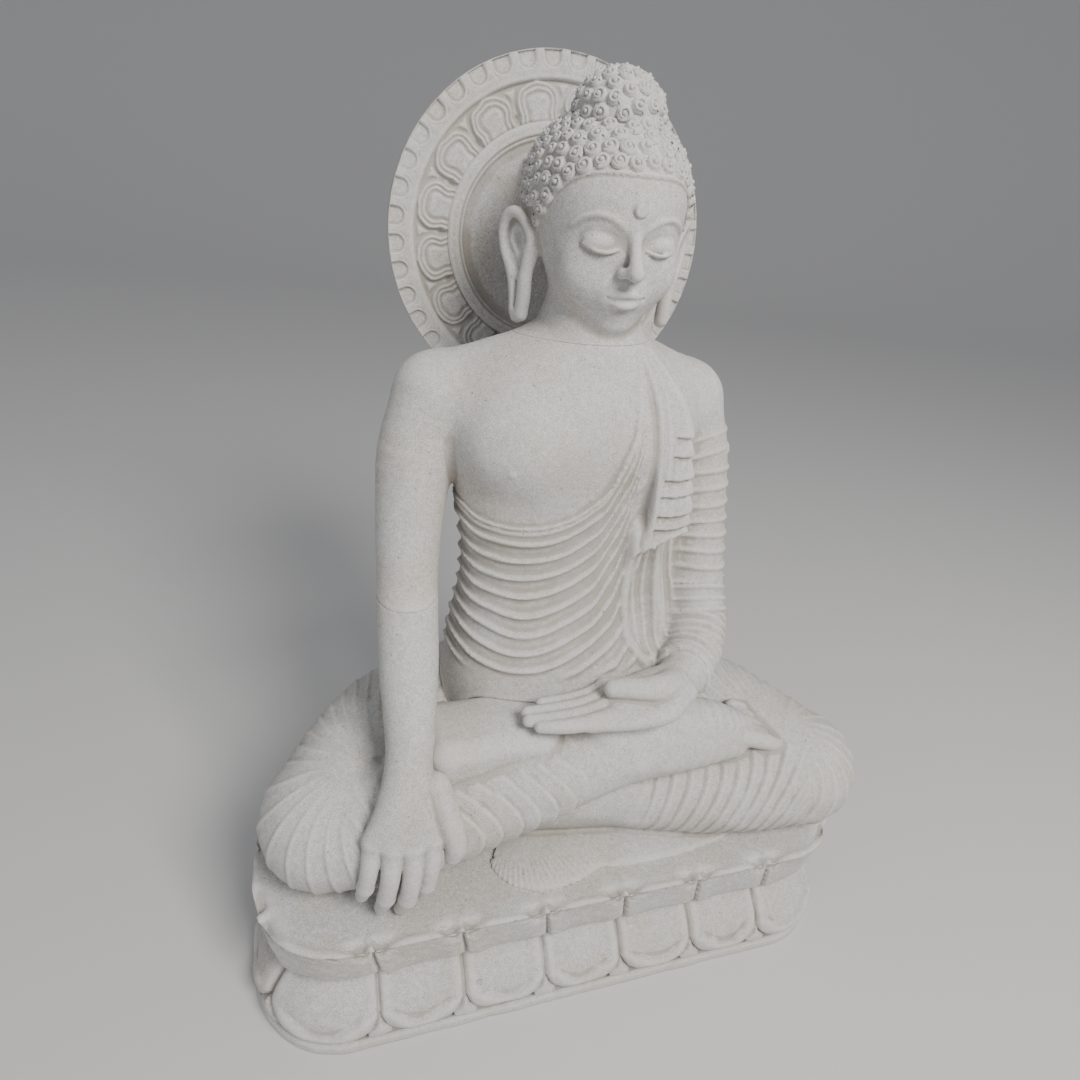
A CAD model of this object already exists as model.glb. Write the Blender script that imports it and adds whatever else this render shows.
# A seated stone figure touching the earth, on a lotus throne with a halo.
# Fields, profiles and paths are in millimetres and meshes are in metres.
# The figure faces -Y, its own right hand is towards -X and +Z is up.
import math

import bmesh
import bpy
import numpy as np
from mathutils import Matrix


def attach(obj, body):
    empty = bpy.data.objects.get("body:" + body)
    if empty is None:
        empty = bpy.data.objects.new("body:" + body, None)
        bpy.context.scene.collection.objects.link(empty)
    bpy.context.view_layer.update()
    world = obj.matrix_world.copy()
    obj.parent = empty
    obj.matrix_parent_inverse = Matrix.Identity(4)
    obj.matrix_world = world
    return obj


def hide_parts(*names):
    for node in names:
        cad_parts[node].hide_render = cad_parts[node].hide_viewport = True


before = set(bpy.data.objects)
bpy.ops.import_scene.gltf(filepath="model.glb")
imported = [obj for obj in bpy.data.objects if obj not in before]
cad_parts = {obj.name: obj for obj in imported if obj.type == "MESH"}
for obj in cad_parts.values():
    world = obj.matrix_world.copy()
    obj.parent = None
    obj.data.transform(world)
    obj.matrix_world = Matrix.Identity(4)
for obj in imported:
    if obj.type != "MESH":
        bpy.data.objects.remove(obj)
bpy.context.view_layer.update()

import openvdb
from mathutils import Euler, Matrix, Vector

MM = 0.001
RNG = np.random.default_rng(7)

NECK_JOINT = 886.0
ELBOW_JOINT = 566.0
SEAT_TOP = 186.0
LAP_BOTTOM = 189.0
RELIEF_REACH = 16.0
FAR = 60.0
SLAB_POINTS = 250000
MOST_TRIANGLES = 192000


# ---------------------------------------------------------------- carving fields
# A field gives each point its distance from the stone's surface, negative inside.

def smooth_union(a, b, k):
    h = np.clip(0.5 + 0.5 * (b - a) / k, 0.0, 1.0)
    return b + (a - b) * h - k * h * (1.0 - h)


def smooth_cut(a, b, k):
    """Stone a with b taken away."""
    return -smooth_union(-a, b, k)


def step(low, high, x):
    t = np.clip((x - low) / (high - low), 0.0, 1.0)
    return t * t * (3.0 - 2.0 * t)


def hermite(t, a, b, slope_a, slope_b):
    """A smooth step from a to b as t goes from 0 to 1, with the slopes at its ends."""
    return (
        (2 * t**3 - 3 * t**2 + 1) * a
        + (t**3 - 2 * t**2 + t) * slope_a
        + (-2 * t**3 + 3 * t**2) * b
        + (t**3 - t**2) * slope_b
    )


def curve(stations):
    """A smooth curve through (key, value) stations, as a function of the key."""
    keys = np.array([s[0] for s in stations], float)
    values = np.array([s[1] for s in stations], float)
    slopes = np.gradient(values, keys)
    fine = np.linspace(keys[0], keys[-1], 400)
    i = np.clip(np.searchsorted(keys, fine, "right") - 1, 0, len(keys) - 2)
    width = keys[i + 1] - keys[i]
    t = (fine - keys[i]) / width
    shape = hermite(t, values[i], values[i + 1], width * slopes[i], width * slopes[i + 1])
    return lambda key: np.interp(key, fine, shape)


SMOOTHED = {}


def smoothed(stations):
    """The stations with four steps of a smooth curve between each two."""
    key = tuple(map(tuple, stations))
    if key not in SMOOTHED:
        c = np.array(stations, float)
        if len(c) > 2:
            slopes = np.gradient(c, axis=0)
            t = (np.arange(4) / 4)[:, None]
            rows = [hermite(t, c[i], c[i + 1], slopes[i], slopes[i + 1]) for i in range(len(c) - 1)]
            c = np.vstack(rows + [c[-1:]])
        SMOOTHED[key] = c.astype(np.float32)
    return SMOOTHED[key]


def limb(p, stations):
    """A tapered round limb through (x, y, z, radius) stations."""
    path = smoothed(stations)
    reach = path[:, 3].max() + FAR / 2
    near = np.all((p > path[:, :3].min(0) - reach) & (p < path[:, :3].max(0) + reach), axis=1)
    out = np.full(len(p), FAR, np.float32)
    q = p[near]
    best = np.full(len(q), FAR, np.float32)
    for start, end in zip(path, path[1:]):
        run = end[:3] - start[:3]
        gap = q - start[:3]
        t = np.clip(gap @ run / (run @ run), 0.0, 1.0)
        gap -= t[:, None] * run
        d = np.sqrt(np.einsum("ij,ij->i", gap, gap)) - (start[3] + (end[3] - start[3]) * t)
        np.minimum(best, d, out=best)
    out[near] = best
    return out


def blob(p, centre, half, turn=None):
    """An ellipsoid. turn is (x, y, z) degrees."""
    q = p - np.array(centre, np.float32)
    if turn is not None:
        r = np.array(euler(turn), np.float32)
        q = q @ r
    half = np.array(half, np.float32)
    k0 = np.sqrt(np.sum((q / half) ** 2, 1)) + 1e-6
    k1 = np.sqrt(np.sum((q / half**2) ** 2, 1)) + 1e-9
    return k0 * (k0 - 1.0) / k1


def euler(turn):
    return Euler([math.radians(a) for a in turn]).to_matrix()


def path_distance(p, points):
    """Distance from a path, and how far along the path the nearest point is."""
    best = np.full(len(p), 1e9, np.float32)
    along = np.zeros(len(p), np.float32)
    start = 0.0
    for a, b in zip(points, points[1:]):
        a = np.array(a, np.float32)
        run = np.array(b, np.float32) - a
        length = float(np.linalg.norm(run))
        q = p - a
        t = np.clip(q @ run / (run @ run), 0.0, 1.0)
        gap = q - t[:, None] * run
        d = np.sqrt(np.einsum("ij,ij->i", gap, gap))
        near = d < best
        best = np.where(near, d, best)
        along = np.where(near, start + t * length, along)
        start += length
    return best, along


def pleat(c, sharp=1.0):
    """Thin raised crests at whole numbers of c, with round valleys between."""
    return np.power(1.0 - np.abs(np.sin(np.pi * c)), sharp)


def crest(c, above=0.15, below=0.08):
    """Narrow ridges at whole numbers of c, steeper on the side where c grows."""
    f = np.mod(c + 0.5, 1.0) - 0.5
    return np.exp(-((f / np.where(f > 0, below, above)) ** 2))


def overlap(c, drop=0.12):
    """Pleats lying over one another: each rises slowly and drops just before a whole number of c."""
    f = np.mod(c, 1.0)
    return f * step(1.0, 1.0 - drop, f)


def block(p, centre, half, corner, turn=None):
    """A box with rounded corners."""
    q = p - np.array(centre, np.float32)
    if turn is not None:
        q = q @ np.array(euler(turn), np.float32)
    q = np.abs(q) - (np.array(half, np.float32) - corner)
    outer = np.sqrt(np.sum(np.maximum(q, 0) ** 2, 1))
    return outer + np.minimum(q.max(1), 0) - corner


def noise(p, scale, seed=0):
    """Smooth random field between about -1 and 1."""
    r = np.random.default_rng(seed)
    total = np.zeros(len(p), np.float32)
    for _ in range(7):
        direction = r.normal(size=3)
        direction *= (0.7 + 0.8 * r.random()) / np.linalg.norm(direction) / scale * 2 * np.pi
        total += np.sin(p @ direction.astype(np.float32) + r.random() * 6.28)
    return total / 3.7


# ---------------------------------------------------------------- carving

def carve(name, field, low, high, size, relief):
    """A mesh of the stone where field is negative. relief raises the surface by millimetres."""
    low = np.array(low, float)
    counts = np.ceil((np.array(high, float) - low) / size).astype(int) + 1
    axes = [low[i] + size * np.arange(counts[i]) for i in range(3)]
    values = np.empty(counts, np.float32)
    grid_y, grid_z = np.meshgrid(axes[1], axes[2], indexing="ij")
    slab = max(1, int(SLAB_POINTS / grid_y.size))
    for i in range(0, counts[0], slab):
        xs = axes[0][i : i + slab]
        p = np.empty((len(xs), grid_y.shape[0], grid_y.shape[1], 3), np.float32)
        p[..., 0] = xs[:, None, None]
        p[..., 1] = grid_y
        p[..., 2] = grid_z
        p = p.reshape(-1, 3)
        d = field(p)
        near = np.abs(d) < RELIEF_REACH
        d[near] -= relief(p[near])
        values[i : i + slab] = d.reshape(len(xs), *grid_y.shape)
    outside = 3.0 * size
    np.clip(values, -outside, outside, out=values)
    for face in (0, -1):
        values[face] = values[:, face] = values[:, :, face] = outside
    grid = openvdb.FloatGrid(outside)
    grid.copyFromArray(values)
    points, quads = grid.convertToQuads(isovalue=0.0)
    points = (low + points * size).astype(np.float32)

    def whole(q):
        return field(q) - relief(q)

    delta = np.float32(0.4 * size)
    for _ in range(2):
        here = whole(points)
        slope = np.stack(
            [whole(points + delta * np.eye(3, dtype=np.float32)[i]) - here for i in range(3)], 1
        ) / delta
        move = here[:, None] * slope / np.maximum(np.sum(slope**2, 1), 0.35)[:, None]
        reach = np.linalg.norm(move, axis=1)[:, None]
        points -= move * np.minimum(1.0, 0.6 * size / np.maximum(reach, 1e-6))
    return stone_mesh(name, points * MM, quads.astype(np.int32))


def read(items, what, width=1, kind=np.float32):
    """One value, or a row of width values, for each of a mesh's points, edges, corners or faces."""
    out = np.empty(len(items) * width, kind)
    items.foreach_get(what, out)
    return out.reshape(-1, width) if width > 1 else out


def stone_mesh(name, points, quads):
    mesh = bpy.data.meshes.new(name)
    mesh.vertices.add(len(points))
    mesh.vertices.foreach_set("co", np.asarray(points, np.float32).ravel())
    mesh.loops.add(quads.size)
    mesh.loops.foreach_set("vertex_index", quads.ravel())
    mesh.polygons.add(len(quads))
    mesh.polygons.foreach_set("loop_start", np.arange(0, quads.size, quads.shape[1], dtype=np.int32))
    mesh.update(calc_edges=True)
    mesh.validate()
    made = bpy.data.objects.new(name, mesh)
    bpy.context.collection.objects.link(made)
    mesh.shade_smooth()
    return made


def select_only(made):
    bpy.ops.object.select_all(action="DESELECT")
    made.select_set(True)
    bpy.context.view_layer.objects.active = made


def saw(made, point, normal):
    """Saws the piece flat, keeps the side the normal points away from, and closes it."""
    select_only(made)
    bpy.ops.object.mode_set(mode="EDIT")
    bpy.ops.mesh.select_all(action="SELECT")
    bpy.ops.mesh.bisect(
        plane_co=Vector(point) * MM, plane_no=Vector(normal), use_fill=True, clear_outer=True
    )
    bpy.ops.object.mode_set(mode="OBJECT")
    largest_only(made)


def largest_only(made):
    """Drops crumbs left by carving."""
    mesh = made.data
    n = len(mesh.vertices)
    edges = read(mesh.edges, "vertices", 2, np.int64)
    label = np.arange(n)
    while True:
        low = np.minimum(label[edges[:, 0]], label[edges[:, 1]])
        fresh = label.copy()
        np.minimum.at(fresh, edges[:, 0], low)
        np.minimum.at(fresh, edges[:, 1], low)
        fresh = fresh[fresh]
        if np.array_equal(fresh, label):
            break
        label = fresh
    names, counts = np.unique(label, return_counts=True)
    if len(names) == 1:
        return
    keep = names[np.argmax(counts)]
    select_only(made)
    mesh.vertices.foreach_set("select", (label != keep))
    mesh.edges.foreach_set("select", (label[edges] != keep).all(1))
    faces = read(mesh.polygons, "loop_start", 1, np.int64)
    corner = read(mesh.loops, "vertex_index", 1, np.int64)
    mesh.polygons.foreach_set("select", label[corner[faces]] != keep)
    bpy.ops.object.mode_set(mode="EDIT")
    bpy.ops.mesh.delete(type="VERT")
    bpy.ops.object.mode_set(mode="OBJECT")


# ---------------------------------------------------------------- legs

RIGHT_THIGH = [(-90, 62, 300, 108), (-230, 6, 292, 106), (-334, -104, 276, 86)]
RIGHT_SHIN = [(-336, -112, 270, 82), (-240, -134, 284, 78), (-120, -148, 320, 64), (-20, -152, 346, 54),
    (60, -150, 362, 48)]
LEFT_THIGH = [(90, 62, 300, 108), (236, -20, 288, 106), (362, -142, 268, 84)]
LEFT_SHIN = [(362, -150, 264, 80), (250, -146, 252, 70), (120, -118, 246, 60), (-40, -90, 280, 50)]
RIGHT_FOOT = [(36, -146, 380, 42), (110, -138, 376, 47), (186, -136, 364, 41), (246, -138, 350, 27)]
RIGHT_KNEE_CREASE = (-286, -100, 350)
LEFT_KNEE_CREASE = (306, -128, 338)


def thighs(p):
    d = limb(p, RIGHT_THIGH)
    return smooth_union(d, limb(p, LEFT_THIGH), 24)


def shins(p):
    right = limb(p, RIGHT_SHIN)
    left = limb(p, LEFT_SHIN)
    return right, left


def feet(p):
    right = limb(p, RIGHT_FOOT)
    right = smooth_union(right, blob(p, (32, -154, 378), (46, 34, 40)), 14)
    left = block(p, (-130, -124, 384), (84, 52, 40), 24, (4, 0, 3))
    instep = limb(p, [(-70, -128, 380, 40), (-150, -122, 382, 41), (-206, -112, 376, 38)])
    left = smooth_union(left, instep, 18)
    sole = limb(p, [(70, -150, 354, 44), (150, -150, 350, 38), (232, -150, 338, 22)])
    right = smooth_union(right, sole, 16)
    for i in range(5):
        size = (12.0, 9.5, 9.0, 8.5, 8.0)[i]
        toe = [
            (240 + 2 * i, -156 + 11 * i, 355 + 4.5 * i, size * 1.25),
            (274 - 3 * i, -162 + 12 * i, 345 + 6.0 * i, size * 1.1),
            (301 - 7 * i, -164 + 12.5 * i, 333 + 7.0 * i, size * 0.8),
        ]
        right = smooth_union(right, limb(p, toe), 4)
    return right, left


def lap(p):
    legs = thighs(p)
    right, left = shins(p)
    legs = smooth_union(legs, left, 16)
    legs = smooth_union(legs, blob(p, (0, 40, 310), (190, 130, 120)), 30)
    legs = smooth_union(legs, blob(p, (20, -60, 250), (200, 90, 80)), 30)
    legs = smooth_union(legs, right, 7)
    right_foot, left_foot = feet(p)
    legs = smooth_union(legs, left_foot, 7)
    legs = smooth_union(legs, right_foot, 5)
    bridge = limb(p, [(-190, -90, 374, 40), (-60, -96, 380, 36), (60, -96, 376, 36)])
    legs = smooth_union(legs, bridge, 14)
    hem = blob(p, (-38, -156, 186), (84, 60, 15))
    hem = smooth_union(hem, blob(p, (110, -148, 185), (170, 56, 13)), 10)
    legs = smooth_union(legs, hem, 9)
    over_bed = (np.abs(p[:, 0]) < 338) & (np.abs(p[:, 1]) < 152)
    return np.maximum(legs, np.where(over_bed, LAP_BOTTOM, SEAT_TOP - 0.6) - p[:, 2])


def radial(p, centre, tilt):
    """Angle and distance round an axis that passes through centre along tilt."""
    axis = np.array(tilt, np.float32)
    axis /= np.linalg.norm(axis)
    q = p - np.array(centre, np.float32)
    right = np.cross(axis, (0, 0, 1)).astype(np.float32)
    right /= np.linalg.norm(right)
    up = np.cross(right, axis).astype(np.float32)
    return np.arctan2(q @ up, q @ right), np.sqrt((q @ up) ** 2 + (q @ right) ** 2)


def leg_folds(p):
    x, y, z = p[:, 0], p[:, 1], p[:, 2]
    wobble = noise(p, 150, 3)
    h = np.zeros(len(p), np.float32)
    right, left = shins(p)
    right_foot, left_foot = feet(p)
    thigh = thighs(p)
    bare = np.minimum(right_foot, left_foot)
    # right shin: arcs round the limb
    _, t = path_distance(p, [s[:3] for s in RIGHT_SHIN])
    up = z - np.interp(x, [-336, -20], [270, 344])
    arcs = t / 25.0 + 0.00042 * up**2 + 0.0045 * up + 0.18 * wobble
    on_right = step(10, 0, right - np.minimum(thigh, left)) * step(352, 300, t) * step(30, 70, t)
    h += on_right * (1.3 * crest(arcs + 0.12, 0.1, 0.16) + 2.6 * overlap(arcs))
    # left shin
    t = 1.04 * (362 - x) + 0.1 * (y + 150)
    arcs = t / 21.0 + 0.014 * (z - 250) + 0.00014 * np.maximum(z - 240, 0) ** 2 + 0.2 * wobble
    on_left = step(10, 0, left - thigh) * step(-6, 6, right) * step(300, 250, t) * step(10, 60, t)
    h += on_left * (0.9 * crest(arcs + 0.12, 0.1, 0.14) + 2.6 * overlap(arcs))
    # knees and thighs: rays from the crease behind each knee
    for side, crease in ((-1, RIGHT_KNEE_CREASE), (1, LEFT_KNEE_CREASE)):
        angle, reach = radial(p, crease, (side * 0.25, -0.75, 0.65))
        rays = (angle - side * 0.0026 * reach) * 15.0 / np.pi + 0.25 * wobble
        near = step(24, 110, reach) * step(330, 190, reach)
        own = step(0, 20, side * x - 60)
        other = on_right if side < 0 else on_left
        h += own * near * (1 - other) * (1.2 * crest(rays + 0.12, 0.12, 0.16) + 2.0 * overlap(rays))
    h *= step(2, 10, bare)
    h *= 1 - step(213, 203, z) * step(-150, -130, x) * step(300, 270, x)
    # the pleated fan lies on the seat
    angle = np.arctan2(y + 96, x + 70)
    fan = step(212, 203, z) * step(40, 24, x) * step(-128, -140, y)
    fade = step(50, -55, x) * step(60, 84, np.hypot(x + 70, y + 96))
    h = h * (1 - fan) + fan * 2.0 * pleat(angle * 13.0, 1.2) * fade
    return h + 0.5 * noise(p, 60, 9)


lap_block = carve("lap_block", lap, (-450, -260, 180), (475, 190, 480), 2.9, leg_folds)


# ---------------------------------------------------------------- body

HALF_WIDTH = curve([(330, 170), (430, 168), (500, 157), (570, 143), (640, 143), (700, 152), (760, 164),
    (810, 160), (850, 128), (890, 66)])
MIDDLE_X = curve([(330, 0), (560, -2), (700, -8), (800, -12), (860, -8), (890, -2)])
FRONT = curve([(330, 100), (430, 117), (480, 108), (540, 94), (600, 86), (660, 88), (720, 96),
    (780, 98), (830, 82), (860, 66), (890, 52)])
BACK = curve([(330, 92), (470, 86), (590, 78), (700, 88), (770, 94), (830, 84), (890, 60)])
RIGHT_ARM = [(-180, 22, 806, 52), (-206, 6, 740, 48), (-217, -10, 660, 42), (-222, -30, 590, 38.5),
    (-225, -56, 545, 38.5), (-229, -98, 490, 36.5), (-233, -138, 436, 31)]
LEFT_ARM = [(156, 22, 804, 50), (178, 12, 730, 48), (190, 2, 640, 46), (198, -14, 545, 46),
    (200, -40, 492, 45), (182, -80, 462, 40), (152, -116, 448, 33)]
HEM = curve([(-175, 690), (-155, 686), (-145, 678), (-120, 672), (-90, 671), (-59, 676), (-30, 688),
    (-10, 703), (12, 729), (27, 774), (38, 812), (43, 852), (46, 890)])
LOWEST = curve([(-175, 476), (-150, 456), (-120, 446), (-90, 442), (-59, 445), (-23, 456), (19, 482),
    (40, 500), (60, 526), (80, 548)])
BACK_HEM = curve([(-175, 690), (-150, 700), (-80, 742), (0, 812), (60, 868), (120, 960)])
WEB_EDGE = curve([(440, 112), (473, 88), (501, 66), (539, 58), (574, 54), (626, 55), (670, 57),
    (720, 66), (760, 64), (840, 58), (880, 50)])


def trunk(p):
    x, y, z = p[:, 0], p[:, 1], p[:, 2]
    a = HALF_WIDTH(z)
    b = np.where(y < -2, FRONT(z), BACK(z))
    qx, qy = x - MIDDLE_X(z), y + 2
    n = 2.3
    k0 = (np.abs(qx / a) ** n + np.abs(qy / b) ** n) ** (1 / n) + 1e-6
    k1 = np.sqrt((qx / a**2) ** 2 + (qy / b**2) ** 2) + 1e-6
    rough = np.sqrt((qx / a) ** 2 + (qy / b) ** 2) + 1e-6
    return ((k0 - 1.0) * rough / k1 * 0.92).astype(np.float32)


def bust(p):
    """The bare body without its arms."""
    d = smooth_cut(trunk(p), 884 - p[:, 2], 12)
    d = smooth_union(d, limb(p, [(-180, 22, 806, 50), (-104, 18, 836, 42), (-20, 16, 856, 44),
        (0, 14, 884, 50)]), 34)
    d = smooth_union(d, limb(p, [(156, 22, 804, 49), (96, 18, 834, 42), (20, 16, 856, 44)]), 34)
    d = smooth_union(d, limb(p, [(0, 14, 850, 62), (2, 6, 905, 58), (6, 6, 950, 56)]), 26)
    d = smooth_union(d, blob(p, (-86, -50, 762), (68, 52, 58)), 22)
    d = smooth_union(d, blob(p, (50, -48, 762), (68, 50, 58)), 22)
    return smooth_union(d, blob(p, (-112, -94.5, 746), (5, 5, 5)), 4)


def right_arm(p):
    return limb(p, RIGHT_ARM)


def left_arm(p):
    return limb(p, LEFT_ARM)


def past_wrist(p):
    """Distance up the left arm from the plane where the hand starts."""
    return ((p[:, 0] - 151) * 0.62 + (p[:, 1] + 117) * 0.72) / 0.95


FLAP_LEFT = curve([(625, 60), (680, 68), (740, 66), (790, 64), (840, 60), (890, 48)])
FLAP_RIGHT = curve([(625, 136), (665, 130), (705, 125), (740, 120), (795, 112), (825, 104), (860, 84),
    (890, 60)])
FLAP_FRONT = curve([(625, -100), (680, -106), (740, -108), (790, -102), (830, -84), (860, -58),
    (890, -34)])


def flap(p):
    """The end of the robe that is thrown over the left shoulder and hangs down the breast."""
    x, y, z = p[:, 0], p[:, 1], p[:, 2]
    left, right, face = FLAP_LEFT(z), FLAP_RIGHT(z), FLAP_FRONT(z)
    half = (right - left) / 2
    side = np.abs(x - (left + right) / 2) - half
    front = face - y
    d = np.maximum(side, front)
    corner = np.sqrt(np.maximum(side + 7, 0) ** 2 + np.maximum(front + 7, 0) ** 2) - 7
    d = np.maximum(np.where((side > -7) & (front > -7), corner, d), y - (face + 60))
    bottom = 634 + 0.36 * (x - 60)
    d = np.maximum(d, bottom - z)
    return np.maximum(d, z - 880)


def upper(p):
    d = bust(p)
    rim = limb(p, [(66, -70, 656, 26), (62, -62, 610, 27), (60, -60, 560, 27), (66, -62, 510, 27),
        (92, -62, 474, 26)])
    d = smooth_union(d, rim, 10)
    recess = limb(p, [(104, -96, 640, 24), (104, -88, 600, 37), (104, -84, 540, 42),
        (118, -88, 492, 31)])
    d = smooth_cut(d, recess, 5)
    d = smooth_union(d, flap(p), 7)
    web = limb(p, [(150, 10, 640, 36), (156, 4, 560, 40), (150, -4, 480, 44)])
    d = smooth_union(d, web, 14)
    d = smooth_union(d, np.maximum(left_arm(p), 2.4 - past_wrist(p)), 12)
    d = smooth_union(d, np.maximum(right_arm(p), ELBOW_JOINT + 0.4 - p[:, 2]), 13)
    d = np.maximum(d, p[:, 2] - 896)
    boss = block(p, (0, 116, 812), (100, 57.4, 40), 14)
    d = smooth_union(d, boss, 14)
    cuff = limb(p, [(160, -104, 452, 38.5), (151, -117, 448, 37)])
    d = smooth_union(d, np.maximum(cuff, 2.4 - past_wrist(p)), 3)
    return np.maximum(d, 0.4 - lap(p))


def robe(p):
    """How far the robe's folds stand up from the body."""
    x, y, z = p[:, 0], p[:, 1], p[:, 2]
    h = np.zeros(len(p), np.float32)
    wobble = noise(p, 120, 5)
    arm = right_arm(p)
    sleeve = left_arm(p)
    # the front and back of the body
    back = step(6, 70, y)
    hem = HEM(x) * (1 - back) + BACK_HEM(x) * back
    low = LOWEST(x) * (1 - back) + 400 * back
    c = 9.2 * (hem - z) / np.maximum(hem - low, 60)
    edge = WEB_EDGE(z)
    body = step(4, 12, arm) * step(-2, 8, sleeve)
    left_part = step(0, 12 + 24 * step(600, 640, z), edge - x) * (1 - back) + back
    cloth = step(-0.05, 0.12, c) * body * left_part
    band = np.exp(-(((c - 0.08) / 0.1) ** 2)) + 0.85 * np.exp(-(((c - 0.42) / 0.1) ** 2))
    folds = crest(c + 0.1 * wobble, 0.2, 0.12) * step(0.55, 0.9, c)
    shingle = 1.0 - np.mod(c + 0.1 * wobble, 1.0)
    height = 1.6 + 4.4 * folds - 1.4 * (1 - shingle) * step(0.9, 1.2, c)
    h += cloth * step(455, 474, z) * (height + 2.4 * band * step(0.9, 0.5, c))
    # the raised edge that falls from the shoulder beside the hollow of the sleeve
    rim = np.exp(-(((x - edge) / 5.5) ** 2)) * step(440, 470, z) * step(690, 640, z) * (1 - back)
    h += rim * 5.0 * body
    # upright folds in the hollow
    hollow = step(4, 16, x - edge) * step(660, 640, z) * (1 - back) * step(0, 8, sleeve)
    h += hollow * 2.2 * crest((x + 0.10 * (z - 560)) / 15.0 + 0.2 * wobble, 0.16, 0.2)
    # the shoulder flap: upright folds, and stepped hems one below the other
    left, right = FLAP_LEFT(z), FLAP_RIGHT(z)
    on_flap = step(-8, 0, x - left) * step(8, 0, x - right) * step(636, 650, z)
    on_flap *= step(-10, -34, y) * step(6, 14, sleeve)
    across = (x - left) / np.maximum(right - left, 8)
    upright = pleat((x - left - 2) / 12.0, 1.4) * step(0.75, 0.25, across)
    h += on_flap * 2.0 * upright * step(650, 700, z)
    panel = 0
    for level, start in ((790, 86), (767, 84), (738, 76), (716, 75), (689, 75), (670, 74)):
        line = level + 0.05 * (x - 100) - 4.0 * np.sin((x - start) / 15.0)
        fade = step(start - 2, start + 5, x)
        below = line - z
        panel = panel + fade * (step(-0.8, 0.8, below) * np.exp(-np.maximum(below, 0) / 13.0))
    h -= on_flap * 6.0 * np.clip(panel, 0, 1.2)
    # the sleeve: rings round the arm that fall towards the outside
    _, t = path_distance(p, [s[:3] for s in LEFT_ARM])
    on_sleeve = step(10, 0, sleeve) * step(-4, 6, flap(p)) * step(20, 60, t)
    count = np.interp(t, [0, 260, 330, 480], [0, 10.8, 15, 27.5])
    outward = (x - np.interp(z, [440, 560, 800], [170, 198, 160])) / 46
    rings = count - 0.25 * outward + 0.12 * wobble
    size = np.interp(t, [0, 90, 260, 480], [1.2, 3.7, 3.7, 2.2])
    h += on_sleeve * size * crest(rings, 0.2, 0.1)
    return h + 0.35 * noise(p, 70, 11)


upper_body = carve("torso_block", upper, (-270, -185, 330), (262, 190, 902), 2.75, robe)
saw(upper_body, (0, 0, NECK_JOINT - 0.4), (0, 0, 1))

# ---------------------------------------------------------------- hands

RIGHT_FINGERS = (
    [(-216, -210, 318, 14.9), (-218, -219, 284, 12.3), (-222, -216, 250, 11.2), (-229, -203, 218, 9.6)],
    [(-239, -214, 314, 14.9), (-241, -224, 278, 12.5), (-246, -220, 236, 11.4), (-252, -204, 200, 9.7)],
    [(-263, -212, 316, 14.5), (-267, -222, 280, 12.1), (-272, -218, 242, 11.0), (-277, -204, 208, 9.2)],
    [(-285, -204, 322, 13.4), (-291, -214, 292, 11.4), (-296, -212, 260, 10.1), (-300, -202, 234, 8.6)],
)
RIGHT_THUMB = [(-208, -184, 378, 17.5), (-194, -206, 340, 16), (-187, -215, 308, 14),
    (-189, -213, 288, 11.5)]


def forearm(p):
    d = right_arm(p)
    for finger in RIGHT_FINGERS:
        knuckle = finger[0]
        palm = [(-234, -150, 420, 21), ((knuckle[0] - 236) / 2, -190, 366, 18.5),
            (*knuckle[:2], knuckle[2] + 4, 14)]
        d = smooth_union(d, limb(p, palm), 15)
    digits = np.full(len(p), FAR, np.float32)
    for finger in RIGHT_FINGERS:
        x, y, z, size = finger[2]
        knuckle = limb(p, [(x, y, z, size + 0.5), (x, y, z - 2, size + 0.5)])
        digits = np.minimum(digits, smooth_union(limb(p, finger), knuckle, 3))
    d = smooth_union(d, digits, 4)
    d = smooth_union(d, limb(p, RIGHT_THUMB), 5)
    return np.maximum(d, 0.4 - lap(p))


def skin(p):
    return 0.3 * noise(p, 60, 21)


forearm_piece = carve("right_forearm", forearm, (-320, -245, 186), (-172, -2, 590), 2.0, skin)
saw(forearm_piece, (0, 0, ELBOW_JOINT), (0, 0, 1))

LEFT_FINGERS = (
    [(30, -178, 446, 12.6), (-10, -184, 444, 11.0), (-46, -182, 441, 9.6), (-76, -174, 438, 8.0)],
    [(24, -161, 448, 12.4), (-18, -170, 446, 10.8), (-56, -168, 443, 9.6), (-88, -162, 440, 8.0)],
    [(24, -144, 449, 12.0), (-16, -155, 448, 10.4), (-54, -155, 446, 9.2), (-87, -150, 444, 7.8)],
    [(28, -128, 450, 11.2), (-6, -140, 450, 9.6), (-38, -143, 449, 8.4), (-66, -141, 448, 7.0)],
)
LEFT_THUMB = [(118, -148, 458, 21), (90, -165, 468, 18.5), (60, -169, 474, 15), (38, -165, 475, 14),
    (22, -162, 474, 12)]


def left_hand_field(p):
    d = limb(p, LEFT_ARM)
    for finger in LEFT_FINGERS:
        knuckle = finger[0]
        palm = [(146, -124, 450, 21), (88, (knuckle[1] - 142) / 2, 446, 18), (*knuckle[:3], 13.4)]
        d = smooth_union(d, limb(p, palm), 14)
    d = smooth_union(d, blob(p, (96, -132, 446), (34, 26, 20)), 12)
    digits = np.full(len(p), FAR, np.float32)
    for finger in LEFT_FINGERS:
        digits = np.minimum(digits, limb(p, finger))
    d = smooth_union(d, digits, 4)
    d = smooth_union(d, limb(p, [(-10, -185, 440, 9), (40, -190, 441, 12), (92, -184, 444, 16),
        (130, -156, 448, 19)]), 9)
    d = smooth_union(d, limb(p, LEFT_THUMB), 6)
    d = np.maximum(d, past_wrist(p) - 2.0)
    return np.maximum(d, 0.4 - lap(p))


left_hand = carve("left_hand", left_hand_field, (-102, -212, 395), (180, -78, 500), 1.9, skin)

# ---------------------------------------------------------------- head

HEAD_PLACE = np.array((8, 6, 1004), np.float32)
HEAD_TURN = np.array(euler((7, 0, -2)), np.float32)


def in_head(p):
    return (p - HEAD_PLACE) @ HEAD_TURN


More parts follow.
